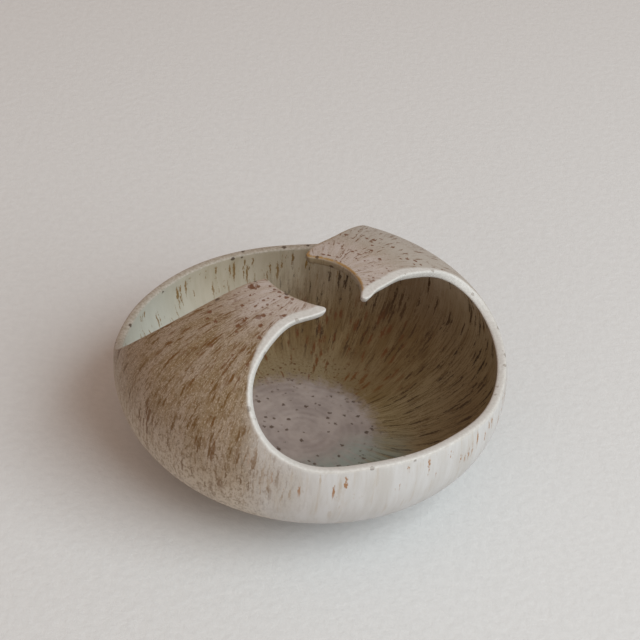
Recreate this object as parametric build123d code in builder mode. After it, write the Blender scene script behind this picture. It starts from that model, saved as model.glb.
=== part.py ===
from build123d import *
import math
import os

# A thrown stoneware yarn bowl: a squat round body, closed in towards a small mouth. Two large
# openings are cut through the shoulder, one at the front and one at the back. Each runs up into
# the mouth, so the shoulder is left as two flaps, the peaks, with two points each.
#
# Frame: millimetres, +Z up, origin in the middle of the face that the foot rests on.
# Front is -Y and right is +X. A bearing is measured from +X towards +Y, and a rise is measured
# up from the horizontal, both as seen from the bowl's centre at its widest height.

# Body
bowl_radius = 88.0
crown_height = 45.5
crown_roundness = 2.4
belly_depth = 50.0
belly_roundness = 2.13
wall = 4.0
glaze = 0.6

# Foot and floor
base_radius = 42.5
foot_width = 6.0
foot_height = 2.5
foot_chamfer = 0.8
glaze_line = 3.2
floor_thickness = 5.0
floor_radius = 37.0
corner_height = 11.0

# Cut edges
rim_depth = 2.0
seam_above_widest = 12.0

# How the cuts and curves are made
top_rise = 76
rise_step = 8
tangent_step = 1.0
cutter_near = 26.0
cutter_far = 106.0

# Each opening's edge as bearing and rise in degrees, anticlockwise as seen from outside,
# from one point of a peak, down and round, up to the point of the other peak. The first and
# last entries lie inside the mouth.
front_edge = [
    (-55, 74), (-76, 65.9), (-93.2, 60.4), (-107.5, 54.2), (-112.3, 45.3), (-113, 37.6),
    (-111.8, 29.2), (-107.2, 20.6), (-99.2, 12.8), (-88, 8.4), (-72, 8.5), (-55, 8.5),
    (-38, 8.1), (-20, 7), (-2, 8.6), (12, 11), (23, 16.5), (28.2, 23),
    (29.2, 30), (26.6, 38.3), (22.3, 46.5), (9.7, 55.5), (-4, 60.6), (-20, 62.5),
    (-40, 71),
]
back_edge = [
    (150, 74), (114, 65.7), (100, 57.2), (90, 51), (82.5, 43), (78, 33.7),
    (76, 24), (79, 13), (87, 5.2), (95, 3.2), (105, 2.4), (120, 1.7),
    (135, 1.1), (150, 0.4), (165, 0.2), (178, 0.6), (188, 4), (196.6, 11.5),
    (201, 19), (202.6, 29), (200.6, 38), (195.2, 47.3), (188.2, 55.6), (182, 62.3),
    (164, 70),
]
front_facing = (-36, 40)
back_facing = (140, 38)

# The mouth's two edges, one on each peak: centre, radius, first and last bearing of the arc.
right_lip = ((-4.4, -4.7), 22.7, -30, 130)
left_lip = ((8.3, 18.9), 37.0, 195, 280)

# Worked out from the sizes above
underside = foot_height
base_share = (base_radius / bowl_radius) ** belly_roundness
belly_drop = belly_depth * (1 - base_share) ** (1 / belly_roundness)
widest = underside + belly_drop
seam = widest + seam_above_widest
floor_top = underside + floor_thickness
rim_zone_bottom = widest - crown_height / 2
mouth_cut_bottom = widest + crown_height / 2
centre = Vector(0, 0, widest)


def wall_radius(height, inset):
    """Distance of the wall from the axis at a height, on the surface set in by inset."""
    above = height - widest
    depth = crown_height if above > 0 else belly_depth
    roundness = crown_roundness if above > 0 else belly_roundness
    share = (abs(above) / (depth - inset)) ** roundness
    return (bowl_radius - inset) * (1 - share) ** (1 / roundness)


def wall_reach(rise, inset):
    """Distance of the wall from the bowl's centre along a rise."""
    depth = crown_height if rise > 0 else belly_depth
    roundness = crown_roundness if rise > 0 else belly_roundness
    across = abs(math.cos(math.radians(rise))) / (bowl_radius - inset)
    up = abs(math.sin(math.radians(rise))) / (depth - inset)
    return (across ** roundness + up ** roundness) ** (-1 / roundness)


def wall_point(bearing, rise, inset=0.0):
    """Point of the wall seen from the bowl's centre along a bearing and a rise."""
    reach = wall_reach(rise, inset)
    out = reach * math.cos(math.radians(rise))
    turn = math.radians(bearing)
    return centre + Vector(out * math.cos(turn), out * math.sin(turn), reach * math.sin(math.radians(rise)))


def wall_curve(inset, low):
    """Points of the wall's section from the height low up to the mouth."""
    start = (wall_radius(low, inset), low)
    first = math.degrees(math.atan2(low - widest, start[0]))
    steps = math.ceil((top_rise - first) / rise_step)
    curve = [start]
    for step in range(1, steps + 1):
        point = wall_point(0, first + step * (top_rise - first) / steps, inset)
        curve.append((point.X, point.Z))
    return curve


def inner_corner(inset, floor_height):
    """The wall's foot inside the bowl: its upper end, its end on the floor, and the tangents there."""
    upper = (wall_radius(corner_height, inset), corner_height)
    lower = (wall_radius(corner_height - tangent_step, inset), corner_height - tangent_step)
    down = (lower[0] - upper[0], lower[1] - upper[1])
    return upper, (floor_radius, floor_height), (down, (-1, 0))


def layer(outer_inset, inner_inset, low):
    """A coat or wall between two surfaces, from the height low up to the mouth."""
    with BuildPart() as coat:
        with BuildSketch(Plane.XZ):
            with BuildLine():
                outside = Spline(*wall_curve(outer_inset, low))
                inside = Spline(*wall_curve(inner_inset, low))
                Line(outside @ 0, inside @ 0)
                Line(outside @ 1, inside @ 1)
            make_face()
        revolve(axis=Axis.Z)
    return coat.part


def edge_points(edge, growth):
    """An opening's edge on the outside of the wall, moved outwards by growth."""
    points = [wall_point(bearing, rise) for bearing, rise in edge]
    moved = []
    for index, point in enumerate(points):
        before = points[max(index - 1, 0)]
        after = points[min(index + 1, len(points) - 1)]
        sideways = (after - before).cross(point - centre).normalized()
        moved.append(point + sideways * growth)
    return moved


def opening(edge, facing, growth):
    """A cone from the bowl's centre through an opening's edge, so the cut runs square to the wall."""
    bearing, rise = math.radians(facing[0]), math.radians(facing[1])
    ahead = Vector(math.cos(rise) * math.cos(bearing), math.cos(rise) * math.sin(bearing), math.sin(rise))
    across = Vector(-math.sin(bearing), math.cos(bearing), 0)
    up = ahead.cross(across)
    with BuildPart() as cone:
        for distance in (cutter_near, cutter_far):
            with BuildSketch(Plane(origin=centre + ahead * distance, x_dir=across, z_dir=ahead)):
                with BuildLine():
                    flat = []
                    for point in edge_points(edge, growth):
                        ray = point - centre
                        scale = distance / ray.dot(ahead)
                        flat.append((ray.dot(across) * scale, ray.dot(up) * scale))
                    curve = Spline(*flat)
                    Line(curve @ 1, curve @ 0)
                make_face()
        loft(ruled=True)
    return cone.part


def mouth(growth):
    """The hole between the two lips, straight down through the crown."""
    with BuildPart() as hole:
        with BuildSketch(Plane.XY.offset(mouth_cut_bottom)):
            with BuildLine():
                arcs = []
                for middle, radius, first, last in (right_lip, left_lip):
                    arcs.append(CenterArc(middle, radius + growth, first, last - first))
                Line(arcs[0] @ 1, arcs[1] @ 0)
                Line(arcs[1] @ 1, arcs[0] @ 0)
            make_face()
        extrude(amount=crown_height)
    return hole.part


def all_openings(growth):
    """Both openings and the mouth in one."""
    with BuildPart() as cut:
        add(opening(front_edge, front_facing, growth))
        add(opening(back_edge, back_facing, growth))
        add(mouth(growth))
    return cut.part


foot_radius = wall_radius(underside, glaze)
slab_radius = foot_radius - foot_width
finished_cut = all_openings(0)
rim_cut = all_openings(rim_depth)

# The clay, before the seam between the belly and the peaks
with BuildPart() as clay:
    with BuildSketch(Plane.XZ):
        with BuildLine():
            upper, lower, tangents = inner_corner(wall - glaze, floor_top)
            outside = Spline(*wall_curve(glaze, underside))
            inside = Spline(*wall_curve(wall - glaze, corner_height))
            Line(outside @ 1, inside @ 1)
            Spline(upper, lower, tangents=tangents)
            Polyline(lower, (slab_radius, floor_top), (slab_radius, underside), outside @ 0)
        make_face()
    revolve(axis=Axis.Z)
    add(rim_cut, mode=Mode.SUBTRACT)

with BuildPart() as belly_wall:
    add(clay.part)
    split(bisect_by=Plane.XY.offset(seam), keep=Keep.BOTTOM)

with BuildPart() as shoulder:
    add(clay.part)
    split(bisect_by=Plane.XY.offset(seam), keep=Keep.TOP)

peaks = shoulder.part.solids().sort_by(Axis.X)

with BuildPart() as left_peak:
    add(peaks.first)

with BuildPart() as right_peak:
    add(peaks.last)

with BuildPart() as floor_slab:
    with BuildSketch(Plane.XY.offset(underside)):
        Circle(slab_radius)
    extrude(amount=floor_thickness)

with BuildPart() as foot_ring:
    with BuildSketch():
        Circle(foot_radius)
        Circle(slab_radius, mode=Mode.SUBTRACT)
    extrude(amount=foot_height)
    chamfer(foot_ring.faces().sort_by(Axis.Z).first.edges(), length=foot_chamfer)

with BuildPart() as outside_glaze:
    add(layer(0, glaze, underside))
    split(bisect_by=Plane.XY.offset(glaze_line), keep=Keep.TOP)
    add(rim_cut, mode=Mode.SUBTRACT)

with BuildPart() as inside_glaze:
    add(layer(wall - glaze, wall, corner_height))
    add(rim_cut, mode=Mode.SUBTRACT)

with BuildPart() as floor_glaze:
    with BuildSketch(Plane.XZ):
        with BuildLine():
            under, under_end, under_tangents = inner_corner(wall - glaze, floor_top)
            over, over_end, over_tangents = inner_corner(wall, floor_top + glaze)
            Spline(under, under_end, tangents=under_tangents)
            Spline(over, over_end, tangents=over_tangents)
            Line(under, over)
            Polyline(under_end, (0, floor_top), (0, floor_top + glaze), over_end)
        make_face()
    revolve(axis=Axis.Z)

with BuildPart() as cut_rim:
    add(layer(0, wall, rim_zone_bottom))
    add(rim_cut, mode=Mode.INTERSECT)
    add(finished_cut, mode=Mode.SUBTRACT)

os.makedirs("parts", exist_ok=True)
pieces = {
    "foot_ring": foot_ring,
    "floor_slab": floor_slab,
    "belly_wall": belly_wall,
    "left_peak": left_peak,
    "right_peak": right_peak,
    "outside_glaze": outside_glaze,
    "inside_glaze": inside_glaze,
    "floor_glaze": floor_glaze,
    "cut_rim": cut_rim,
}
for name, piece in pieces.items():
    piece.part.label = name
    export_step(piece.part, f"parts/{name}.step")
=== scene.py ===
"""The looks of a glazed stoneware yarn bowl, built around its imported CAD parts.

Metres, in the CAD frame: +Z up, origin in the middle of the face that the foot rests on, front
-Y and right +X. A bearing is measured from +X towards +Y and a rise up from the horizontal,
both as seen from the bowl's centre at its widest height.
"""

import math

import bpy
import numpy as np
from mathutils import Matrix, Vector, kdtree
from mathutils.geometry import delaunay_2d_cdt


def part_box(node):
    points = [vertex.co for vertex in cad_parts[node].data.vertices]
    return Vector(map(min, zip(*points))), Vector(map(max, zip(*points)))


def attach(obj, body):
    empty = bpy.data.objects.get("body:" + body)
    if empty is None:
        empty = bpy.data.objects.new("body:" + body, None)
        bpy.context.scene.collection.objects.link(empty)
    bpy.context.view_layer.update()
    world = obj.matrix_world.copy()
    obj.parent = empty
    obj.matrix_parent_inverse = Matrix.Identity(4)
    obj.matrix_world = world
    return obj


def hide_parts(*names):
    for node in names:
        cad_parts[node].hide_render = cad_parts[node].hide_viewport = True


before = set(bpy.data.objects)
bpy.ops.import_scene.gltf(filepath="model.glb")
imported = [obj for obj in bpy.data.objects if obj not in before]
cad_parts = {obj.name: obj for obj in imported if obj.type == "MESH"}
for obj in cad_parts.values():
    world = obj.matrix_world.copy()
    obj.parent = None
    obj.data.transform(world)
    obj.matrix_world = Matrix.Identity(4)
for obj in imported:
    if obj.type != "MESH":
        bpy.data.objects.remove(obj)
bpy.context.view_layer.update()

MM = 0.001

# Sizes that the frame gives
BOWL_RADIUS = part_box("outside_glaze")[1].x
FOOT_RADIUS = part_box("foot_ring")[1].x
SLAB_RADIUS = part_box("floor_slab")[1].x
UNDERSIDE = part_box("floor_slab")[0].z
SLAB_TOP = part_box("floor_slab")[1].z
GLAZE_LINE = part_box("outside_glaze")[0].z
CORNER_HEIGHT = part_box("inside_glaze")[0].z

# The body's section: two superellipses that meet at the widest height
CROWN_HEIGHT = 45.5 * MM
CROWN_ROUNDNESS = 2.4
BELLY_DEPTH = 50 * MM
BELLY_ROUNDNESS = 2.13
BASE_RADIUS = 42.5 * MM
WALL = 4 * MM
GLAZE = 0.6 * MM
FLOOR_TOP = SLAB_TOP + GLAZE
FLOOR_RADIUS = 37 * MM
BASE_SHARE = (BASE_RADIUS / BOWL_RADIUS) ** BELLY_ROUNDNESS
WIDEST = UNDERSIDE + BELLY_DEPTH * (1 - BASE_SHARE) ** (1 / BELLY_ROUNDNESS)
CENTRE = np.array([0, 0, WIDEST])

# The openings' edges as bearing and rise in degrees, and the lips as centre and radius in mm
FRONT_EDGE = [
    (-55, 74), (-76, 65.9), (-93.2, 60.4), (-107.5, 54.2), (-112.3, 45.3), (-113, 37.6),
    (-111.8, 29.2), (-107.2, 20.6), (-99.2, 12.8), (-88, 8.4), (-72, 8.5), (-55, 8.5),
    (-38, 8.1), (-20, 7), (-2, 8.6), (12, 11), (23, 16.5), (28.2, 23),
    (29.2, 30), (26.6, 38.3), (22.3, 46.5), (9.7, 55.5), (-4, 60.6), (-20, 62.5),
    (-40, 71),
]
BACK_EDGE = [
    (150, 74), (114, 65.7), (100, 57.2), (90, 51), (82.5, 43), (78, 33.7),
    (76, 24), (79, 13), (87, 5.2), (95, 3.2), (105, 2.4), (120, 1.7),
    (135, 1.1), (150, 0.4), (165, 0.2), (178, 0.6), (188, 4), (196.6, 11.5),
    (201, 19), (202.6, 29), (200.6, 38), (195.2, 47.3), (188.2, 55.6), (182, 62.3),
    (164, 70),
]
RIGHT_LIP = ((-4.4, -4.7), 22.7)
LEFT_LIP = ((8.3, 18.9), 37.0)

# How far the thrown wall strays, and the spiral that the potter's finger left on the floor
WOBBLE = 0.09 * MM
RIPPLE_HEIGHT = 0.07 * MM
RIPPLE_PITCH = 4.2 * MM

# The glaze's rolled lower edge, and the curve of the wall's foot inside, with pulls as shares of its width
ROLL_LENGTH = 1.2 * MM
ROLL_DEPTH = 0.8 * GLAZE
WALL_PULL = 0.32
FLOOR_PULL = 0.52

# The rounded rim
RIM_DEPTH = 1.3 * MM
RIM_ROWS = 7
RIM_BOXINESS = 0.72
TIP_RADIUS = 1.9 * MM
TIP_POINTS = 6

# Mesh. The net is of nearly even triangles, NET_STEP along a row and NET_ROW from row to row.
CURVE_STEP = 0.2 * MM
LOOP_STEP = 0.6 * MM
NET_STEP = 1.7 * MM
NET_ROW = 0.866 * NET_STEP
NET_CLEAR = 0.9 * MM
RING_POINTS = 400
RING_TURNS = np.arange(RING_POINTS) * 2 * math.pi / RING_POINTS
NET_RISE = math.radians(-8)
WALL_ROWS = 48
ROLL_ROWS = 4
CORNER_ROWS = 14
FLOOR_ROWS = 40
SLAB_ROWS = 70
SECTION_POINTS = 6


# ---------------------------------------------------------------- the surface


def wobble(bearing, rise):
    """How far the thrown wall strays from its true shape."""
    slow = np.sin(2 * bearing + 0.7) + 0.6 * np.sin(3 * bearing - 1.9 + 1.5 * rise)
    return WOBBLE * slow * np.cos(rise)


def reach(rise, inset):
    """Distance of the wall from the bowl's centre along a rise, on the surface set in by inset."""
    upper = rise > 0
    power = np.where(upper, CROWN_ROUNDNESS, BELLY_ROUNDNESS)
    depth = np.where(upper, CROWN_HEIGHT, BELLY_DEPTH)
    across = np.abs(np.cos(rise)) / (BOWL_RADIUS - inset)
    up = np.abs(np.sin(rise)) / (depth - inset)
    return (across ** power + up ** power) ** (-1 / power)


def wall_points(bearing, rise, inset):
    """Points of the wall along bearings and rises."""
    far = reach(rise, inset) + wobble(bearing, rise)
    out = far * np.cos(rise)
    return np.stack([out * np.cos(bearing), out * np.sin(bearing), WIDEST + far * np.sin(rise)], -1)


def directions(points):
    """Bearing and rise of points."""
    from_centre = points - CENTRE
    flat = np.hypot(from_centre[..., 0], from_centre[..., 1])
    return np.arctan2(from_centre[..., 1], from_centre[..., 0]), np.arctan2(from_centre[..., 2], flat)


def on_wall(points, inset):
    """Points moved along their rays from the centre onto the surface set in by inset."""
    bearing, rise = directions(points)
    return wall_points(bearing, rise, inset)


def wall_normals(points, inset):
    """Outward normals of the wall under points."""
    bearing, rise = directions(points)
    step = 0.002
    around = wall_points(bearing + step, rise, inset) - wall_points(bearing - step, rise, inset)
    upwards = wall_points(bearing, rise + step, inset) - wall_points(bearing, rise - step, inset)
    return unit(np.cross(around, upwards))


def unit(vectors):
    """Vectors brought to length 1."""
    return vectors / np.linalg.norm(vectors, axis=-1, keepdims=True)


# ---------------------------------------------------------------- the rim's loops


def smooth_curve(marks, step):
    """Points every step along the natural cubic spline through marks."""
    gaps = np.linalg.norm(np.diff(marks, axis=0), axis=1)
    matrix = np.eye(len(marks))
    target = np.zeros_like(marks)
    for i in range(1, len(marks) - 1):
        matrix[i, i - 1:i + 2] = gaps[i - 1], 2 * (gaps[i - 1] + gaps[i]), gaps[i]
        after = (marks[i + 1] - marks[i]) / gaps[i]
        before = (marks[i] - marks[i - 1]) / gaps[i - 1]
        target[i] = 6 * (after - before)
    bend = np.linalg.solve(matrix, target)
    knots = np.concatenate([[0], np.cumsum(gaps)])
    places = np.arange(0, knots[-1], step)
    span = np.clip(np.searchsorted(knots, places, "right") - 1, 0, len(gaps) - 1)
    width = gaps[span][:, None]
    ahead = (places - knots[span])[:, None]
    left = width - ahead
    start = marks[span] / width - bend[span] * width / 6
    end = marks[span + 1] / width - bend[span + 1] * width / 6
    curved = (bend[span] * left ** 3 + bend[span + 1] * ahead ** 3) / (6 * width)
    return curved + start * left + end * ahead


def opening_curve(edge, inset):
    """An opening's edge on the surface set in by inset."""
    bearings, rises = np.radians(np.array(edge)).T
    return on_wall(smooth_curve(wall_points(bearings, rises, 0), CURVE_STEP), inset)


def beyond_lip(points, lip):
    """How far points lie outside a lip's circle, seen from above."""
    (x, y), radius = lip
    return np.hypot(points[:, 0] - x * MM, points[:, 1] - y * MM) - radius * MM


def lip_curve(lip, start, end, inset):
    """The lip's arc from start to end, on the surface set in by inset."""
    middle = np.array(lip[0]) * MM
    radius = lip[1] * MM
    first = math.atan2(start[1] - middle[1], start[0] - middle[0])
    last = math.atan2(end[1] - middle[1], end[0] - middle[0])
    if last < first:
        last += 2 * math.pi
    turn = np.arange(first, last, CURVE_STEP / radius)
    x = middle[0] + radius * np.cos(turn)
    y = middle[1] + radius * np.sin(turn)
    share = (np.hypot(x, y) / (BOWL_RADIUS - inset)) ** CROWN_ROUNDNESS
    z = WIDEST + (CROWN_HEIGHT - inset) * (1 - share) ** (1 / CROWN_ROUNDNESS)
    return on_wall(np.stack([x, y, z], -1), inset)


def lengths(curve):
    """Distance of each point from the curve's start."""
    return np.concatenate([[0], np.cumsum(np.linalg.norm(np.diff(curve, axis=0), axis=1))])


def resampled(curve, start_cut, end_cut, count):
    """The curve between its two cuts, as count evenly spaced points."""
    places = lengths(curve)
    wanted = np.linspace(start_cut, places[-1] - end_cut, count)
    return np.stack([np.interp(wanted, places, curve[:, axis]) for axis in range(3)], -1)


def between_lips(curve, first_lip, last_lip):
    """The stretch of an edge that lies outside both lips' circles."""
    first = np.nonzero(beyond_lip(curve, first_lip) > 0)[0][0]
    last = np.nonzero(beyond_lip(curve, last_lip) > 0)[0][-1]
    return curve[first:last + 1]


def four_curves(inset):
    """Front edge, right lip, back edge and left lip, anticlockwise round the hole from above."""
    front = between_lips(opening_curve(FRONT_EDGE, inset), LEFT_LIP, RIGHT_LIP)
    back = between_lips(opening_curve(BACK_EDGE, inset), RIGHT_LIP, LEFT_LIP)
    right = lip_curve(RIGHT_LIP, front[-1], back[0], inset)
    left = lip_curve(LEFT_LIP, back[-1], front[0], inset)
    return [front, right, back, left]


def tip_angle(arriving, leaving):
    """Angle of the clay between two edges that meet at a point of a peak."""
    near = 10
    one = unit(arriving[-near] - arriving[-1])
    other = unit(leaving[near] - leaving[0])
    return math.acos(float(one @ other))


def tip_arc(start, corner, end, angle):
    """Points of the arc that rounds a tip, between its two ends."""
    weight = math.sin(angle / 2)
    t = np.linspace(0, 1, TIP_POINTS + 2)[1:-1, None]
    whole = (1 - t) ** 2 + 2 * weight * t * (1 - t) + t ** 2
    return ((1 - t) ** 2 * start + 2 * weight * t * (1 - t) * corner + t ** 2 * end) / whole


def rim_loop(inset, counts):
    """The hole's whole edge on one surface, with its four tips rounded."""
    curves = four_curves(inset)
    angles = [tip_angle(curves[i], curves[(i + 1) % 4]) for i in range(4)]
    cuts = [TIP_RADIUS / math.tan(angle / 2) for angle in angles]
    if counts is None:
        counts = [int(lengths(curve)[-1] / LOOP_STEP) for curve in curves]
    sides = [resampled(curves[i], cuts[i - 1], cuts[i], counts[i]) for i in range(4)]
    loop = []
    for i in range(4):
        corner = (curves[i][-1] + curves[(i + 1) % 4][0]) / 2
        loop.append(sides[i])
        loop.append(tip_arc(sides[i][-1], corner, sides[(i + 1) % 4][0], angles[i]))
    return on_wall(np.concatenate(loop), inset), counts


def rim_row(outer, inner, depth, through):
    """The rim at a depth behind the cut face. through runs from 1 outside to -1 inside."""
    share = (1 - through) / 2
    base = outer * (1 - share) + inner * share
    along = np.roll(base, -1, 0) - np.roll(base, 1, 0)
    sideways = unit(np.cross(along, wall_normals(base, WALL * share)))
    return on_wall(base + depth * sideways, WALL * share)


# ---------------------------------------------------------------- the skin


class Skin:
    """The bowl's whole surface, as vertices and named groups of faces."""

    def __init__(self):
        self.vertices = np.zeros((0, 3))
        self.faces = {}

    def add(self, points):
        """Adds points and returns their numbers."""
        first = len(self.vertices)
        self.vertices = np.concatenate([self.vertices, points])
        return np.arange(first, first + len(points))

    def strip(self, group, upper, lower, flipped):
        """Quads between two closed rows of the same count."""
        quads = np.stack([upper, lower, np.roll(lower, -1), np.roll(upper, -1)], -1)
        self.keep(group, quads, flipped)

    def keep(self, group, faces, flipped):
        """Adds faces to a group."""
        turned = faces[:, ::-1] if flipped else faces
        self.faces.setdefault(group, []).extend(turned.tolist())

    def normals(self):
        """Normals of all vertices, weighted by the faces' areas."""
        total = np.zeros_like(self.vertices)
        for faces in self.faces.values():
            for count in (3, 4):
                some = np.array([face for face in faces if len(face) == count])
                if len(some):
                    corners = self.vertices[some]
                    one = corners[:, 2] - corners[:, 0]
                    other = corners[:, -1] - corners[:, 1]
                    for column in range(count):
                        np.add.at(total, some[:, column], np.cross(one, other))
        return unit(total)


def flat_map(points):
    """The wall laid out flat around the point over the bowl's centre."""
    bearing, rise = directions(points)
    out = (math.pi / 2 - rise) * BOWL_RADIUS
    return np.stack([out * np.cos(bearing), out * np.sin(bearing)], -1)


def from_map(flat, inset):
    """Points of the wall from their places on the flat map."""
    rise = math.pi / 2 - np.hypot(flat[:, 0], flat[:, 1]) / BOWL_RADIUS
    return wall_points(np.arctan2(flat[:, 1], flat[:, 0]), rise, inset)


def inside_loop(points, loop):
    """Which points of the map lie inside a closed loop."""
    hit = np.zeros(len(points), bool)
    for (x1, y1), (x2, y2) in zip(loop, np.roll(loop, -1, 0)):
        if y1 != y2:
            spans = (points[:, 1] < y1) != (points[:, 1] < y2)
            cross = x1 + (points[:, 1] - y1) * (x2 - x1) / (y2 - y1)
            hit ^= spans & (points[:, 0] < cross)
    return hit


def net_places(loop, ring_out):
    """Places of a three-way net between the hole and the ring, clear of both."""
    rows = int(ring_out / NET_ROW) + 1
    columns = int(ring_out / NET_STEP) + 1
    places = []
    for row in range(-rows, rows + 1):
        for column in range(-columns, columns + 1):
            places.append(((column + 0.5 * (row % 2)) * NET_STEP, row * NET_ROW))
    places = np.array(places)
    places = places[np.hypot(places[:, 0], places[:, 1]) < ring_out - NET_CLEAR]
    places = places[~inside_loop(places, loop)]
    tree = kdtree.KDTree(len(loop))
    for number, (x, y) in enumerate(loop):
        tree.insert((x, y, 0), number)
    tree.balance()
    clear = [tree.find((x, y, 0))[2] > NET_CLEAR for x, y in places]
    return places[np.array(clear)]


def net_faces(loop, ring, net):
    """Triangles between the hole's loop and the ring, by the numbers of all places in this order."""
    places = np.concatenate([loop, ring, net])
    edges = [(i, (i + 1) % len(loop)) for i in range(len(loop))]
    edges += [(len(loop) + i, len(loop) + (i + 1) % len(ring)) for i in range(len(ring))]
    scaled = [Vector(place / MM) for place in places]
    found = delaunay_2d_cdt(scaled, edges, [], 0, 1e-7)
    source = np.array([olds[0] for olds in found[3]])
    faces = source[np.array(found[2])]
    faces = faces[~inside_loop(places[faces].mean(1), loop)]
    one = places[faces[:, 1]] - places[faces[:, 0]]
    other = places[faces[:, 2]] - places[faces[:, 0]]
    clockwise = one[:, 0] * other[:, 1] - one[:, 1] * other[:, 0] < 0
    faces[clockwise] = faces[clockwise][:, ::-1]
    return faces


def fill_net(skin, group, rim, inset, flipped):
    """Triangles from the rim's last row out to a level ring. Returns the ring's numbers."""
    loop = flat_map(skin.vertices[rim])
    ring_out = (math.pi / 2 - NET_RISE) * BOWL_RADIUS
    ring_places = ring_out * np.stack([np.cos(RING_TURNS), np.sin(RING_TURNS)], -1)
    inner_places = net_places(loop, ring_out)
    ring = skin.add(from_map(ring_places, inset))
    net = skin.add(from_map(inner_places, inset))
    numbers = np.concatenate([rim, ring, net])
    skin.keep(group, numbers[net_faces(loop, ring_places, inner_places)], flipped)
    return ring


def level_row(rise, inset):
    """One level ring of the wall."""
    return wall_points(RING_TURNS, np.full(RING_POINTS, rise), inset)


def rise_at(height, inset):
    """The rise of the belly's surface at a height."""
    share = ((WIDEST - height) / (BELLY_DEPTH - inset)) ** BELLY_ROUNDNESS
    out = (BOWL_RADIUS - inset) * (1 - share) ** (1 / BELLY_ROUNDNESS)
    return math.atan2(height - WIDEST, out)


def round_row(out, height):
    """One ring around the axis. height is one value or one for each point."""
    heights = np.broadcast_to(height, RING_POINTS)
    return np.stack([out * np.cos(RING_TURNS), out * np.sin(RING_TURNS), heights], -1)


def floor_ripple(out):
    """Height of the floor's spiral round a ring, which fades out on the wall's foot."""
    fade = min(1, max(0, (FLOOR_RADIUS + 8 * MM - out) / (10 * MM)))
    return RIPPLE_HEIGHT * fade * np.sin(out / RIPPLE_PITCH * 2 * math.pi - RING_TURNS)


def build_rim(skin):
    """The rounded rim. Returns its middle row, that row's counts, and its last rows outside and inside."""
    outer, counts = rim_loop(0, None)
    inner, counts = rim_loop(WALL, counts)
    crest = skin.add(rim_row(outer, inner, 0, 0))
    last_out, last_in = crest, crest
    for row in range(1, RIM_ROWS + 1):
        turn = row / RIM_ROWS * math.pi / 2
        depth = RIM_DEPTH * (1 - math.cos(turn) ** RIM_BOXINESS)
        through = math.sin(turn) ** RIM_BOXINESS
        next_out = skin.add(rim_row(outer, inner, depth, through))
        next_in = skin.add(rim_row(outer, inner, depth, -through))
        skin.strip("cut_rim", last_out, next_out, False)
        skin.strip("cut_rim", last_in, next_in, True)
        last_out, last_in = next_out, next_in
    return crest, counts, last_out, last_in


def build_outside(skin, rim):
    """The outside, from the rim down to the rolled edge of the glaze."""
    last = fill_net(skin, "outside_glaze", rim, 0, False)
    low = rise_at(GLAZE_LINE, 0)
    roll = ROLL_LENGTH / BOWL_RADIUS
    for row in range(1, WALL_ROWS + ROLL_ROWS + 1):
        rise = NET_RISE + min(row / WALL_ROWS, 1) * (low + roll - NET_RISE)
        around = max(0, row - WALL_ROWS) / ROLL_ROWS
        rise -= roll * around
        inset = ROLL_DEPTH * (1 - math.sqrt(1 - around ** 2))
        here = skin.add(level_row(rise, inset))
        skin.strip("outside_glaze", last, here, False)
        last = here


def build_inside(skin, rim):
    """The inside of the wall, down to its foot."""
    last = fill_net(skin, "inside_glaze", rim, WALL, True)
    low = rise_at(CORNER_HEIGHT, WALL)
    for row in range(1, WALL_ROWS + 1):
        here = skin.add(level_row(NET_RISE + row / WALL_ROWS * (low - NET_RISE), WALL))
        skin.strip("inside_glaze", last, here, True)
        last = here
    return last


def corner_section():
    """Out and height of points down the wall's foot inside, a curve that ends level on the floor."""
    low = rise_at(CORNER_HEIGHT, WALL)
    step = 0.02
    start, below = wall_points(np.zeros(2), np.array([low, low - step]), WALL)[:, [0, 2]]
    end = np.array([FLOOR_RADIUS, FLOOR_TOP])
    width = start[0] - end[0]
    near_wall = start + WALL_PULL * width * unit(below - start)
    near_floor = end + FLOOR_PULL * width * np.array([1, 0])
    t = np.arange(1, CORNER_ROWS + 1)[:, None] / CORNER_ROWS
    upper = (1 - t) ** 3 * start + 3 * t * (1 - t) ** 2 * near_wall
    return upper + 3 * t ** 2 * (1 - t) * near_floor + t ** 3 * end


def build_floor(skin, last):
    """The wall's foot inside and the floor, to the middle."""
    floor = [(FLOOR_RADIUS * (1 - row / FLOOR_ROWS), FLOOR_TOP) for row in range(1, FLOOR_ROWS)]
    for out, height in [*corner_section(), *floor]:
        here = skin.add(round_row(out, height + floor_ripple(out)))
        skin.strip("floor_glaze", last, here, True)
        last = here
    middle = skin.add(np.array([[0, 0, FLOOR_TOP]]))
    fan = np.stack([last, np.full(len(last), middle[0]), np.roll(last, -1)], -1)
    skin.keep("floor_glaze", fan, True)


# ---------------------------------------------------------------- pieces


def new_piece(name, vertices, faces, normals, fields):
    """A visual piece that stands for the CAD node of its name."""
    mesh = bpy.data.meshes.new(name)
    mesh.from_pydata(vertices.tolist(), [], faces)
    mesh.update()
    mesh.polygons.foreach_set("use_smooth", [True] * len(mesh.polygons))
    for field, values in fields.items():
        kind = "FLOAT" if values.ndim == 1 else "FLOAT_VECTOR"
        attribute = mesh.attributes.new(field, kind, "POINT")
        key = "value" if values.ndim == 1 else "vector"
        attribute.data.foreach_set(key, values.astype(np.float32).ravel())
    if normals is not None:
        mesh.normals_split_custom_set_from_vertices(normals.tolist())
    piece = bpy.data.objects.new(name + "_look", mesh)
    bpy.context.scene.collection.objects.link(piece)
    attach(piece, "root")
    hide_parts(name)
    return piece


def compact(faces):
    """The vertices that faces use, and the faces renumbered to them."""
    used = np.unique(np.concatenate([np.array(face) for face in faces]))
    place = {int(old): new for new, old in enumerate(used)}
    return used, [[place[v] for v in face] for face in faces]


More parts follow.
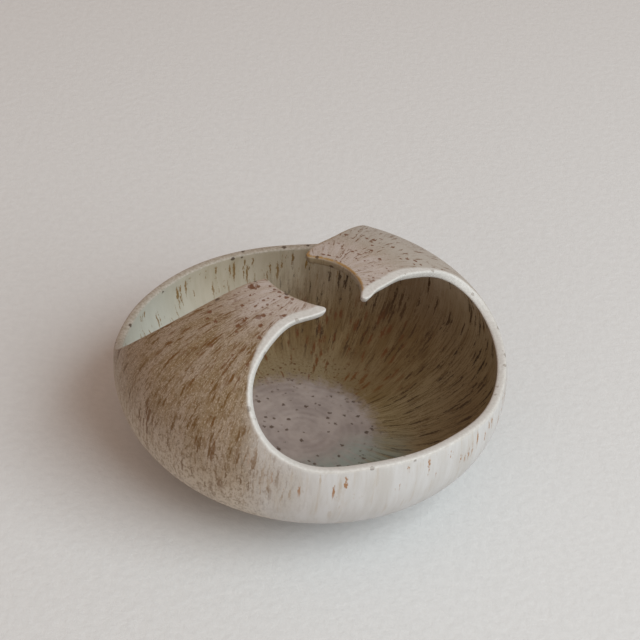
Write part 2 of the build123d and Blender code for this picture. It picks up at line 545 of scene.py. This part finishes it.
def open_edges(faces):
    """Edges that only one face uses, in that face's direction."""
    edges = {}
    for face in faces:
        for a, b in zip(face, face[1:] + face[:1]):
            edges[(a, b)] = True
    return [(a, b) for a, b in edges if (b, a) not in edges]


def coat(name, skin, normals, fields):
    """A coat of glaze: the skin's faces of one group, backed at the glaze's thickness."""
    used, faces = compact(skin.faces[name])
    front = skin.vertices[used]
    facing = normals[used]
    count = len(used)
    vertices = np.concatenate([front, front - facing * GLAZE])
    backing = [[v + count for v in reversed(face)] for face in faces]
    sides = [[b, a, a + count, b + count] for a, b in open_edges(faces)]
    both = {field: np.concatenate([values[used]] * 2) for field, values in fields.items()}
    bent = np.concatenate([facing, -facing])
    return new_piece(name, vertices, faces + backing + sides, bent, both)


def rim_piece(skin, normals, fields, last_out, last_in):
    """The rim, closed across the wall where the coats and the clay meet it."""
    skin.strip("cut_rim", last_out, last_in, False)
    used, faces = compact(skin.faces["cut_rim"])
    some = {field: values[used] for field, values in fields.items()}
    return new_piece("cut_rim", skin.vertices[used], faces, normals[used], some)


def lathe(name, profile):
    """A closed turned piece from its section's points, anticlockwise in out and height."""
    vertices = np.concatenate([round_row(out, height) for out, height in profile])
    faces = []
    for row in range(len(profile)):
        one = row * RING_POINTS
        two = (row + 1) % len(profile) * RING_POINTS
        for i in range(RING_POINTS):
            j = (i + 1) % RING_POINTS
            faces.append([one + i, one + j, two + j, two + i])
    return new_piece(name, vertices, faces, None, {})


def rounded_section(corners, radius):
    """A section with its corners rounded."""
    points = []
    count = len(corners)
    for i in range(count):
        corner = np.array(corners[i])
        before = np.array(corners[i - 1]) - corner
        after = np.array(corners[(i + 1) % count]) - corner
        start = corner + before / np.linalg.norm(before) * radius
        end = corner + after / np.linalg.norm(after) * radius
        for t in np.linspace(0, 1, SECTION_POINTS):
            points.append((1 - t) ** 2 * start + 2 * t * (1 - t) * corner + t ** 2 * end)
    return points


def foot_piece():
    """The turned foot ring, with soft edges and a slightly sloping side."""
    taper = 0.6 * MM
    overlap = 0.3 * MM
    lower = [(SLAB_RADIUS, 0), (FOOT_RADIUS - taper, 0)]
    upper = [(FOOT_RADIUS, UNDERSIDE), (SLAB_RADIUS - overlap, UNDERSIDE)]
    return lathe("foot_ring", rounded_section(lower + upper, radius=0.5 * MM))


def slab_piece():
    """The floor's clay, with the turning tool's shallow grooves under it."""
    height, pitch, lift = 0.09 * MM, 3.1 * MM, 0.05 * MM
    outs = np.linspace(0.6 * MM, SLAB_RADIUS - 0.05 * MM, SLAB_ROWS)
    grooves = height * np.sin(outs / pitch * 2 * math.pi) + lift
    section = [(out, UNDERSIDE + max(0, up)) for out, up in zip(outs, grooves)]
    section += [(outs[-1], SLAB_TOP), (outs[0], SLAB_TOP)]
    return lathe("floor_slab", section)


def run_length(rise):
    """Length along the outside from over the centre down to a rise."""
    quarter_degrees = np.radians(np.arange(90, -90.25, -0.25))
    curve = wall_points(np.zeros_like(quarter_degrees), quarter_degrees, 0)
    return np.interp(-rise, -quarter_degrees, lengths(curve))


def distances(skin, numbers):
    """Distance of every vertex to the nearest of some vertices."""
    tree = kdtree.KDTree(len(numbers))
    for number in numbers:
        tree.insert(skin.vertices[number], int(number))
    tree.balance()
    return np.array([tree.find(point)[2] for point in skin.vertices])


def skin_fields(skin, normals, crest, counts):
    """What the glazes' colours depend on, at each vertex."""
    bearing, rise = directions(skin.vertices)
    ends = np.cumsum([count + TIP_POINTS for count in counts])
    turned = BOWL_RADIUS * np.stack([np.cos(bearing), np.sin(bearing)], -1)
    inward = np.sum((skin.vertices - CENTRE) * normals, -1) < 0
    return {
        "edge": distances(skin, crest),
        "front": distances(skin, crest[:ends[0] - TIP_POINTS // 2]),
        "lip": distances(skin, crest[ends[0]:ends[1]]),
        "flow": np.concatenate([turned, run_length(rise)[:, None]], -1),
        "inner": inward.astype(float),
        "rise": rise,
        "out": np.hypot(skin.vertices[:, 0], skin.vertices[:, 1]),
    }


# ---------------------------------------------------------------- materials

# Lengths here are in metres, bearings and rises in radians, and a share runs from 0 to 1.


def tone(red, green, blue):
    """A colour from its 0-255 screen values."""
    shares = [value / 255 for value in (red, green, blue)]
    linear = [s / 12.92 if s <= 0.04045 else ((s + 0.055) / 1.055) ** 2.4 for s in shares]
    return (*linear, 1.0)


class Paint:
    """One material and the nodes that make it."""

    def __init__(self, name):
        self.material = bpy.data.materials.new(name)
        self.material.use_nodes = True
        self.tree = self.material.node_tree
        self.shader = self.tree.nodes["Principled BSDF"]
        self.place = self.node("ShaderNodeTexCoord").outputs["Object"]

    def node(self, kind, **settings):
        """A new node with its settings."""
        made = self.tree.nodes.new(kind)
        for key, value in settings.items():
            setattr(made, key, value)
        return made

    def put(self, value, socket):
        """Links a socket to another, or sets its value."""
        if isinstance(value, bpy.types.NodeSocket):
            self.tree.links.new(value, socket)
        else:
            socket.default_value = value

    def math(self, operation, one, other=0.0):
        """One sum on two values."""
        made = self.node("ShaderNodeMath", operation=operation)
        self.put(one, made.inputs[0])
        self.put(other, made.inputs[1])
        return made.outputs[0]

    def plus(self, one, other):
        """Two values added."""
        return self.math("ADD", one, other)

    def times(self, first, *others):
        """The product of all values."""
        product = first
        for other in others:
            product = self.math("MULTIPLY", product, other)
        return product

    def less(self, value):
        """What is left of 1 after a value."""
        return self.math("SUBTRACT", 1.0, value)

    def above(self, value, low, high):
        """0 below low, 1 above high, and smooth between."""
        made = self.node("ShaderNodeMapRange", interpolation_type="SMOOTHSTEP")
        self.put(value, made.inputs["Value"])
        made.inputs["From Min"].default_value = low
        made.inputs["From Max"].default_value = high
        return made.outputs["Result"]

    def below(self, value, low, high):
        """1 below low, 0 above high, and smooth between."""
        return self.less(self.above(value, low, high))

    def between(self, value, start, full, fading, end):
        """0 up to start, 1 from full to fading, and 0 again from end."""
        return self.times(self.above(value, start, full), self.below(value, fading, end))

    def blend(self, share, first, second):
        """A colour between two others."""
        made = self.node("ShaderNodeMix", data_type="RGBA", clamp_factor=True)
        self.put(share, made.inputs["Factor"])
        colours = [socket for socket in made.inputs if socket.type == "RGBA"]
        self.put(first, colours[0])
        self.put(second, colours[1])
        return [socket for socket in made.outputs if socket.type == "RGBA"][0]

    def over(self, colour, top, *shares):
        """A colour with another laid over it, as strongly as the product of the shares."""
        return self.blend(self.times(*shares), colour, top)

    def field(self, name, output="Fac"):
        """A value stored in the mesh."""
        return self.node("ShaderNodeAttribute", attribute_name=name).outputs[output]

    def stretched(self, vector, across, along):
        """A place scaled so that one unit is across wide and along long."""
        made = self.node("ShaderNodeVectorMath", operation="MULTIPLY")
        self.put(vector, made.inputs[0])
        made.inputs[1].default_value = (1 / across, 1 / across, 1 / along)
        return made.outputs[0]

    def moved(self, vector, by, amount):
        """A place pushed about by a colour, so that shapes get ragged edges."""
        made = self.node("ShaderNodeVectorMath", operation="MULTIPLY_ADD")
        self.put(by, made.inputs[0])
        made.inputs[1].default_value = (amount, amount, amount)
        self.put(vector, made.inputs[2])
        return made.outputs[0]

    def noise(self, vector, detail, roughness, output="Fac"):
        """Cloudy noise about one unit across."""
        made = self.node("ShaderNodeTexNoise")
        self.put(vector, made.inputs["Vector"])
        made.inputs["Scale"].default_value = 1.0
        made.inputs["Detail"].default_value = detail
        made.inputs["Roughness"].default_value = roughness
        return made.outputs[output]

    def grain(self, size, detail=3.0, roughness=0.5, output="Fac"):
        """Cloudy noise about size across, the same in all directions."""
        return self.noise(self.stretched(self.place, size, size), detail, roughness, output)

    def blobs(self, vector, share, radius, growth, rough, low, high):
        """Blobs in a share of the cells about one unit apart, from radius to radius plus growth in size."""
        cells = self.node("ShaderNodeTexVoronoi")
        self.put(vector, cells.inputs["Vector"])
        cells.inputs["Scale"].default_value = 1.0
        chance = self.node("ShaderNodeSeparateColor")
        self.put(cells.outputs["Color"], chance.inputs[0])
        chosen = self.math("LESS_THAN", chance.outputs[0], share)
        grown = self.plus(radius, self.times(chance.outputs[1], growth))
        soft = self.less(self.math("DIVIDE", cells.outputs["Distance"], grown))
        return self.times(self.above(self.plus(soft, rough), low, high), chosen)

    def fray(self, grain, amount):
        """A grain made to push an outline in and out."""
        return self.times(self.math("SUBTRACT", grain, 0.5), amount)

    def spots(self, vector, spacing, size, share):
        """Scattered frayed spots: size is their radius in spacings, share how many of the cells have one."""
        rough = self.fray(self.grain(0.0007, 3.0, 0.7), 0.9)
        placed = self.stretched(vector, spacing, spacing)
        return self.blobs(placed, share, 0.5 * size, 0.6 * size, rough, 0.2, 0.42)

    def finish(self, colour, roughness, bump, strength):
        """Connects the surface."""
        self.put(colour, self.shader.inputs["Base Color"])
        self.put(roughness, self.shader.inputs["Roughness"])
        relief = self.node("ShaderNodeBump")
        relief.inputs["Distance"].default_value = 1.0
        relief.inputs["Strength"].default_value = 1.0
        self.put(self.times(bump, strength), relief.inputs["Height"])
        self.put(relief.outputs["Normal"], self.shader.inputs["Normal"])
        return self.material


class GlazePaint(Paint):
    """A glaze's material, with what its colours depend on."""

    def __init__(self, name):
        super().__init__(name)
        self.flow = self.field("flow", "Vector")
        self.rise = self.field("rise")
        self.inner = self.field("inner")
        self.ragged = self.grain(0.0012, 3.0, 0.6, "Color")
        split = self.node("ShaderNodeSeparateXYZ")
        self.put(self.place, split.inputs[0])
        self.x, self.y = split.outputs["X"], split.outputs["Y"]

    def turned_from(self, bearing):
        """How far a place is turned from a bearing, worked out per point so that no seam shows."""
        turn = self.math("ARCTAN2", self.y, self.x)
        return self.math("ABSOLUTE", self.math("SUBTRACT", turn, bearing))

    def flowing(self, across, along, detail=3.0, roughness=0.6):
        """Cloudy noise drawn out down the wall."""
        return self.noise(self.stretched(self.flow, across, along), detail, roughness)

    def runs(self, across, along, low, high):
        """Thin ragged runs of glaze, crowded and broken."""
        placed = self.stretched(self.moved(self.flow, self.ragged, 0.0014), across, along)
        return self.above(self.noise(placed, 5.0, 0.62), low, high)

    def strokes(self, across, along, share):
        """Short ragged strokes that run down the wall, in a share of cells of this size."""
        wander = self.grain(0.0022, 2.0, 0.6, "Color")
        placed = self.stretched(self.moved(self.flow, wander, 0.0020), across, along)
        rough = self.fray(self.flowing(0.0005, 0.0040, 4.0, 0.75), 2.6)
        return self.blobs(placed, share, 0.26, 0.34, rough, 0.22, 0.5)

    def blots(self, push, spacing, size, share):
        """Spots whose outlines are also pushed out of round."""
        return self.spots(self.moved(self.place, self.ragged, push), spacing, size, share)


def outside_colour(paint):
    """The outside: brown-grey with iron streaks on the left, milky white in front and right."""
    flat = paint.above(paint.rise, 0.62, 1.0)
    white = white_share(paint)
    brown = paint.less(white)
    left = paint.above(paint.turned_from(0.35), 0.95, 1.5)
    tan = tan_colour(paint, flat)
    pale = paint.over(tone(168, 161, 152), tan, left)
    colour = paint.over(milk_colour(paint), paint.over(pale, tan, flat), brown)
    streaked = paint.plus(0.3, paint.times(left, 0.7))
    upward = paint.plus(0.45, paint.times(paint.above(paint.rise, -0.3, 0.1), 0.55))
    colour = iron_streaks(paint, colour, paint.times(paint.less(flat), brown, streaked, upward))
    return rim_drips(paint, iron_spots(paint, colour, flat), white)


def white_share(paint):
    """How white the outside glaze is: wholly so in front and on the right, low on the wall."""
    wavy = paint.plus(paint.turned_from(-0.72), paint.times(paint.grain(0.03, 2.0), 0.5))
    return paint.times(paint.below(wavy, 0.98, 1.48), paint.below(paint.rise, 0.28, 0.62))


def milk_colour(paint):
    """The milky white in front, with faint cool and warm runs and ochre strokes at its sides."""
    run = paint.above(paint.flowing(0.006, 0.03), 0.3, 0.7)
    colour = paint.blend(run, tone(180, 176, 172), tone(191, 189, 188))
    stain = paint.above(paint.flowing(0.0016, 0.016), 0.54, 0.76)
    colour = paint.over(colour, tone(168, 150, 126), stain, 0.38)
    beside = paint.above(paint.turned_from(-0.75), 0.35, 0.85)
    return paint.over(colour, tone(150, 124, 84), paint.strokes(0.0030, 0.016, 0.4), beside, 0.4)


def tan_colour(paint, flat):
    """The mottled brown-grey ground of the left side and of both peaks."""
    cloud = paint.above(paint.flowing(0.009, 0.022), 0.35, 0.65)
    wall = paint.blend(cloud, tone(146, 130, 113), tone(127, 107, 80))
    wall = paint.over(wall, tone(196, 184, 168), paint.below(paint.rise, -0.3, 0.2))
    top = paint.blend(cloud, tone(174, 163, 157), tone(161, 147, 136))
    coarse = paint.above(paint.flowing(0.0012, 0.0020, 5.0, 0.75), 0.51, 0.58)
    dark = paint.blend(flat, tone(102, 80, 48), tone(138, 114, 94))
    share = paint.math("SUBTRACT", 0.7, paint.times(flat, 0.3))
    colour = paint.over(paint.blend(flat, wall, top), dark, coarse, share)
    fine = paint.above(paint.flowing(0.0007, 0.0010, 4.0, 0.8), 0.52, 0.6)
    light = paint.blend(flat, tone(182, 167, 149), tone(194, 184, 176))
    return paint.over(colour, light, fine, 0.6)


def iron_streaks(paint, colour, where):
    """Orange-brown hairs and strokes down the steep part of the wall."""
    often = paint.above(paint.grain(0.016, 2.0), 0.38, 0.56)
    colour = paint.over(colour, tone(120, 90, 46), paint.runs(0.0010, 0.007, 0.53, 0.6), where, 0.3)
    colour = paint.over(colour, tone(104, 76, 36), paint.runs(0.0014, 0.006, 0.56, 0.61), where, 0.6)
    colour = paint.over(colour, tone(95, 65, 20), paint.strokes(0.0021, 0.011, 0.45), where, 0.9)
    return paint.over(colour, tone(96, 61, 14), paint.strokes(0.0030, 0.016, 0.6), where, often, 0.95)


def iron_spots(paint, colour, flat):
    """Red-brown spots on the flat tops of the peaks, and dashes from their shoulders up."""
    often = paint.above(paint.grain(0.02, 2.0), 0.3, 0.42)
    shoulder = paint.above(paint.rise, 0.42, 0.62)
    high = paint.above(paint.rise, 0.34, 0.5)
    colour = paint.over(colour, tone(94, 52, 24), paint.blots(0.0020, 0.0058, 0.50, 0.22), flat, 0.95)
    colour = paint.over(colour, tone(98, 58, 28), paint.blots(0.0016, 0.0032, 0.48, 0.34), shoulder, 0.9)
    colour = paint.over(colour, tone(98, 58, 32), paint.blots(0.0010, 0.0021, 0.5, 0.5), flat, often, 0.8)
    return paint.over(colour, tone(98, 64, 30), paint.strokes(0.0021, 0.008, 0.6), high, 0.85)


def rim_drips(paint, colour, white):
    """A few thin orange drips on the white, just under the rim."""
    under = paint.between(paint.field("front"), 0.003, 0.0045, 0.011, 0.016)
    return paint.over(colour, tone(142, 96, 46), paint.strokes(0.0017, 0.014, 0.32), under, white, 0.9)


def inside_colour(paint):
    """The inside: olive with brown runs, paler at the back left under the rim, specked at the foot. The pale
    back left is partly the glaze's own colour and partly painted light, and the dark olive of the right wall
    partly painted shade.
    """
    turned = paint.turned_from(0)
    height = paint.plus(paint.rise, paint.times(paint.above(turned, 1.6, 2.4), 0.4))
    upper = paint.above(height, -0.4, 0.1)
    # dark: the olive part, all but high at the back left; partly the glaze's own colour, partly painted
    # shade on the right inner wall, while the pale back left it leaves is partly painted light
    dark = paint.less(paint.times(paint.above(turned, 0.95, 1.65), upper))
    drawn = paint.less(paint.times(paint.above(turned, 1.45, 1.9), upper))
    low = paint.times(paint.below(paint.rise, -0.72, -0.46), paint.above(turned, 0.5, 1.2))
    colour = inside_ground(paint, turned, dark, low)
    colour = inside_runs(paint, colour, dark, drawn, paint.less(low))
    colour = inside_rust(paint, colour, turned, dark)
    return foot_specks(paint, under_drips(paint, colour), low)


def inside_ground(paint, turned, dark, low):
    """The inside's clouded ground: olive that pales upwards where it is dark, celadon elsewhere. The celadon
    is partly painted light and the olive partly painted shade, beside the glaze's own colours; a paler grey
    high on the right wall is painted light.
    """
    cloud = paint.above(paint.flowing(0.007, 0.03), 0.3, 0.7)
    upper = paint.blend(cloud, tone(224, 218, 206), tone(206, 197, 178))
    lower = paint.blend(cloud, tone(150, 131, 96), tone(122, 98, 58))
    olive = paint.blend(paint.above(paint.rise, -0.3, 0.4), lower, upper)
    # Painted light: a paler, greyer olive high on the right inner wall, standing in for light that reaches
    # it
    right = paint.times(paint.below(turned, 0.3, 0.9), paint.below(paint.rise, 0.0, 0.4))
    olive = paint.over(olive, tone(147, 131, 101), right, 0.7)
    olive = paint.over(olive, tone(146, 131, 102), low)
    # Pale celadon at the back left: partly the glaze's own colour, partly painted light where the light
    # falls in
    lit_celadon = paint.blend(cloud, tone(184, 174, 156), tone(170, 159, 138))
    lit_celadon = paint.over(lit_celadon, tone(186, 190, 184), paint.above(turned, 2.2, 2.8), 0.6)
    return paint.blend(dark, lit_celadon, olive)


def inside_runs(paint, colour, dark, drawn, clear):
    """Brown hairs, runs and long strokes down the inside, clear of its foot."""
    thin = paint.less(paint.times(paint.above(paint.rise, -0.3, 0.2), 0.85))
    where = paint.times(dark, thin, clear)
    high = paint.above(paint.rise, -0.5, -0.2)
    colour = paint.over(colour, tone(104, 82, 48), paint.runs(0.0008, 0.009, 0.49, 0.58), where, 0.7)
    colour = paint.over(colour, tone(86, 62, 28), paint.runs(0.0018, 0.015, 0.56, 0.6), where, 0.5)
    colour = paint.over(colour, tone(58, 37, 11), paint.strokes(0.0027, 0.017, 0.7), drawn, clear, 0.9)
    return paint.over(colour, tone(50, 32, 9), paint.strokes(0.0021, 0.021, 0.6), drawn, high)


def inside_rust(paint, colour, turned, dark):
    """A warm brown wash over the lower inside, with rusty strokes low in it."""
    warm = paint.times(paint.below(paint.rise, 0.0, 0.3), dark, paint.above(turned, 0.4, 1.0))
    right = paint.less(paint.times(paint.above(turned, 1.1, 1.5), 0.75))
    low = paint.below(paint.rise, -0.35, -0.1)
    colour = paint.over(colour, tone(96, 64, 20), warm, right, 0.42)
    return paint.over(colour, tone(106, 60, 18), paint.strokes(0.0036, 0.009, 0.75), warm, low, 0.9)


def under_drips(paint, colour):
    """Thin brown drips inside, just under the cut edges."""
    under = paint.between(paint.field("edge"), 0.0030, 0.0045, 0.012, 0.024)
    return paint.over(colour, tone(122, 90, 34), paint.strokes(0.0018, 0.015, 0.62), under, 0.9)


def foot_specks(paint, colour, low):
    """Crowded dark specks where the wall curves into the floor."""
    mottle = paint.above(paint.grain(0.0012, 4.0, 0.7), 0.5, 0.6)
    colour = paint.over(colour, tone(106, 84, 48), mottle, low, 0.5)
    return paint.over(colour, tone(92, 58, 28), paint.blots(0.0010, 0.0020, 0.5, 0.6), low, 0.9)


def rim_colours(paint, wall):
    """The rim over the wall's colour: grey and lined brown, golden on the right lip, white in front."""
    frayed = paint.grain(0.003)
    grain = paint.grain(0.0012, 3.0, 0.6)
    gold = paint.below(paint.field("lip"), 0.0026, 0.0040)
    beside = paint.below(paint.field("edge"), 0.0024, 0.0032)
    speck = paint.blots(0.0008, 0.0050, 0.36, 0.6)
    colour = grey_rim(paint, wall, frayed, grain, gold)
    colour = rim_line(paint, colour, frayed, gold)
    colour = paint.over(colour, tone(62, 42, 26), speck, beside, 0.85)
    colour = paint.over(colour, tone(66, 42, 20), paint.blots(0.0010, 0.0034, 0.42, 0.5), beside, gold, 0.85)
    white = paint.blend(paint.above(grain, 0.3, 0.7), tone(200, 197, 193), tone(188, 185, 180))
    white = paint.over(white, tone(110, 92, 74), paint.above(speck, 0.5, 1.0), 0.45)
    return paint.over(colour, white, white_rim(paint, frayed))


def white_rim(paint, frayed):
    """Where the rim is white: the front edge's cut face, and a soft zone beside it on the peaks."""
    away = paint.plus(paint.field("front"), paint.times(frayed, 0.0012))
    wide = paint.times(paint.above(paint.rise, 0.45, 0.85), paint.less(paint.inner), 0.0020)
    return paint.below(paint.math("SUBTRACT", away, wide), 0.0024, 0.0038)


def grey_rim(paint, wall, frayed, grain, gold):
    """The grey cut face of the other edges, golden on the right lip and brown on the inner side of that."""
    grey = paint.blend(paint.above(grain, 0.35, 0.65), tone(176, 168, 158), tone(150, 140, 126))
    grey = paint.over(grey, tone(132, 110, 80), gold, 0.7)
    under = paint.times(gold, paint.inner)
    wall = paint.over(wall, tone(104, 84, 52), under, 0.8)
    away = paint.plus(paint.field("edge"), paint.times(frayed, 0.0006))
    bare = paint.less(paint.times(under, 0.9))
    return paint.over(wall, grey, paint.below(away, 0.0020, 0.0028), bare, 0.85)


def rim_line(paint, colour, frayed, gold):
    """A broken brown line along the rim's outer side, stronger and golden on the right lip."""
    line = paint.between(paint.field("edge"), 0.0014, 0.0019, 0.0020, 0.0027)
    broken = paint.above(frayed, 0.3, 0.5)
    brown = paint.blend(gold, tone(140, 116, 88), tone(146, 112, 60))
    strength = paint.plus(0.5, paint.times(gold, 0.45))
    return paint.over(colour, brown, line, paint.less(paint.inner), broken, strength)


def glaze_paint():
    """The fired glaze of the wall and its rim: one recipe, so that the pieces run into each other."""
    paint = GlazePaint("fired_glaze_paint")
    wall = paint.blend(paint.inner, outside_colour(paint), inside_colour(paint))
    pores = paint.grain(0.0009, 3.0, 0.6)
    rough = paint.plus(0.42, paint.times(pores, 0.16))
    return paint.finish(rim_colours(paint, wall), rough, pores, 0.00006)


def floor_paint():
    """The floor's glaze: lilac-grey with dark specks and a blue-green pool, olive up the wall's foot."""
    paint = GlazePaint("floor_glaze_paint")
    out = paint.field("out")
    cloud = paint.grain(0.010, 3.0, 0.6)
    aside = paint.plus(out, paint.times(paint.x, 0.08))
    wavy = paint.plus(aside, paint.times(paint.grain(0.004, 4.0, 0.65), 0.018))
    foot = paint.above(wavy, 0.0395, 0.0515)
    colour = paint.over(floor_grey(paint, cloud), inside_colour(paint), foot)
    colour = floor_specks(paint, pool_colour(paint, colour, out), out, cloud, paint.less(foot))
    pores = paint.grain(0.0009, 3.0, 0.6)
    rough = paint.plus(0.3, paint.times(pores, 0.15))
    return paint.finish(colour, rough, pores, 0.00005)


def floor_grey(paint, cloud):
    """The floor's clouded lilac-grey, with faint rings from the potter's finger."""
    grey = paint.blend(paint.above(cloud, 0.3, 0.7), tone(166, 153, 147), tone(150, 137, 132))
    rings = paint.node("ShaderNodeTexWave", wave_type="RINGS", rings_direction="Z")
    wavy = paint.moved(paint.place, paint.ragged, 0.0016)
    paint.put(paint.stretched(wavy, 0.011, 0.011), rings.inputs["Vector"])
    rings.inputs["Scale"].default_value = 1.0
    return paint.over(grey, tone(122, 111, 106), rings.outputs["Fac"], paint.above(cloud, 0.35, 0.7), 0.3)


def pool_colour(paint, colour, out):
    """The blue-green pool of glaze at the floor's right front, streaked outwards."""
    beside = paint.below(paint.turned_from(-0.85), 0.4, 1.1)
    ring = paint.between(out, 0.014, 0.030, 0.044, 0.056)
    streak = paint.above(paint.flowing(0.005, 0.03, 4.0, 0.65), 0.2, 0.6)
    return paint.over(colour, tone(140, 152, 144), beside, ring, streak, 0.75)


def floor_specks(paint, colour, out, cloud, level):
    """Dark specks all over the level floor, and finer ones towards the wall."""
    colour = paint.over(colour, tone(72, 54, 42), paint.blots(0.0018, 0.0036, 0.38, 0.45), level, 0.85)
    often = paint.times(paint.above(out, 0.020, 0.036), paint.above(cloud, 0.3, 0.5))
    return paint.over(colour, tone(76, 54, 38), paint.blots(0.0012, 0.0024, 0.5, 0.5), often, level, 0.8)


def clay_paint(name, light, dark):
    """Bare fired stoneware."""
    paint = Paint(name)
    grain = paint.grain(0.0008, 5.0, 0.7)
    colour = paint.blend(paint.above(paint.grain(0.015), 0.3, 0.7), light, dark)
    colour = paint.over(colour, tone(120, 92, 68), paint.above(grain, 0.5, 0.8), 0.4)
    colour = paint.over(colour, tone(74, 48, 32), paint.spots(paint.place, 0.003, 0.2, 0.4), 0.8)
    return paint.finish(colour, 0.85, grain, 0.00012)


# ---------------------------------------------------------------- the scene


def paint_all(pieces):
    """Gives every piece and carried-over CAD node its material."""
    glaze = glaze_paint()
    for name in ("outside_glaze", "inside_glaze", "cut_rim"):
        pieces[name].data.materials.append(glaze)
    pieces["floor_glaze"].data.materials.append(floor_paint())
    bare = clay_paint("bare_clay_paint", tone(206, 186, 160), tone(186, 162, 134))
    for name in ("foot_ring", "floor_slab"):
        pieces[name].data.materials.append(bare)
    body = clay_paint("fired_clay_paint", tone(204, 184, 158), tone(180, 156, 128))
    for name in ("belly_wall", "left_peak", "right_peak"):
        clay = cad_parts[name]
        clay.data.materials.clear()
        clay.data.materials.append(body)


def build_bowl():
    """Every visual piece of the bowl."""
    skin = Skin()
    crest, counts, rim_out, rim_in = build_rim(skin)
    build_outside(skin, rim_out)
    foot = build_inside(skin, rim_in)
    build_floor(skin, foot)
    normals = skin.normals()
    fields = skin_fields(skin, normals, crest, counts)
    pieces = {}
    for name in ("outside_glaze", "inside_glaze", "floor_glaze"):
        pieces[name] = coat(name, skin, normals, fields)
    pieces["cut_rim"] = rim_piece(skin, normals, fields, rim_out, rim_in)
    pieces["foot_ring"] = foot_piece()
    pieces["floor_slab"] = slab_piece()
    return pieces


def add_light(name, bearing, rise, distance, size, power, colour):
    """A soft square light that faces the bowl. bearing and rise are in degrees, power is in watts."""
    light = bpy.data.lights.new(name, "AREA")
    light.shape = "SQUARE"
    light.size = size
    light.energy = power
    light.color = colour
    lamp = bpy.data.objects.new(name, light)
    bpy.context.scene.collection.objects.link(lamp)
    turn, up = math.radians(bearing), math.radians(rise)
    away = Vector((math.cos(up) * math.cos(turn), math.cos(up) * math.sin(turn), math.sin(up)))
    lamp.location = Vector(CENTRE) + away * distance
    lamp.rotation_euler = away.to_track_quat("Z", "Y").to_euler()


def add_ground():
    """A plain pale floor."""
    half = 3.0
    mesh = bpy.data.meshes.new("ground")
    corners = [(-half, -half, 0), (half, -half, 0), (half, half, 0), (-half, half, 0)]
    mesh.from_pydata(corners, [], [(0, 1, 2, 3)])
    ground = bpy.data.objects.new("ground", mesh)
    bpy.context.scene.collection.objects.link(ground)
    paint = Paint("ground_paint")
    grain = paint.grain(0.004, 4.0, 0.6)
    colour = paint.blend(paint.above(grain, 0.3, 0.7), tone(213, 213, 213), tone(209, 209, 209))
    mesh.materials.append(paint.finish(colour, 0.9, grain, 0.0003))


def add_world(colour, strength):
    """Even light from all round."""
    world = bpy.data.worlds.new("studio")
    world.use_nodes = True
    background = world.node_tree.nodes["Background"]
    background.inputs["Color"].default_value = colour
    background.inputs["Strength"].default_value = strength
    bpy.context.scene.world = world


def add_camera():
    """The camera at the viewing angle: slightly rolled, and aimed a little off the bowl's centre."""
    elevation = math.radians(38)
    distance = 9 * BOWL_RADIUS
    focal, sensor = 99.2, 36.0
    roll = 0.108
    right_aim, up_aim = 0.00516, 0.02416
    back = Vector((0, -math.cos(elevation), math.sin(elevation)))
    right = Vector((1, 0, 0))
    up = back.cross(right)
    turned_right = right * math.cos(roll) + up * math.sin(roll)
    turned_up = up * math.cos(roll) - right * math.sin(roll)
    forward = (-back + turned_right * right_aim + turned_up * up_aim).normalized()
    right_axis = forward.cross(turned_up).normalized()
    up_axis = right_axis.cross(forward)
    camera = bpy.data.cameras.new("camera")
    camera.lens = focal
    camera.sensor_width = sensor
    seen = bpy.data.objects.new("camera", camera)
    bpy.context.scene.collection.objects.link(seen)
    axes = Matrix((right_axis, up_axis, -forward)).transposed().to_4x4()
    seen.matrix_world = Matrix.Translation(Vector(CENTRE) + back * distance) @ axes
    bpy.context.scene.camera = seen


pieces = build_bowl()
paint_all(pieces)
add_ground()
add_light("key", bearing=-32, rise=41, distance=1.9, size=1.8, power=42, colour=(0.83, 0.955, 1.0))
add_light("fill", bearing=-115, rise=14, distance=2.0, size=1.2, power=4, colour=(1.0, 0.9, 0.82))
add_world(colour=(1.0, 0.74, 0.60, 1.0), strength=0.42)
add_camera()
bpy.context.scene.view_settings.view_transform = "Standard"
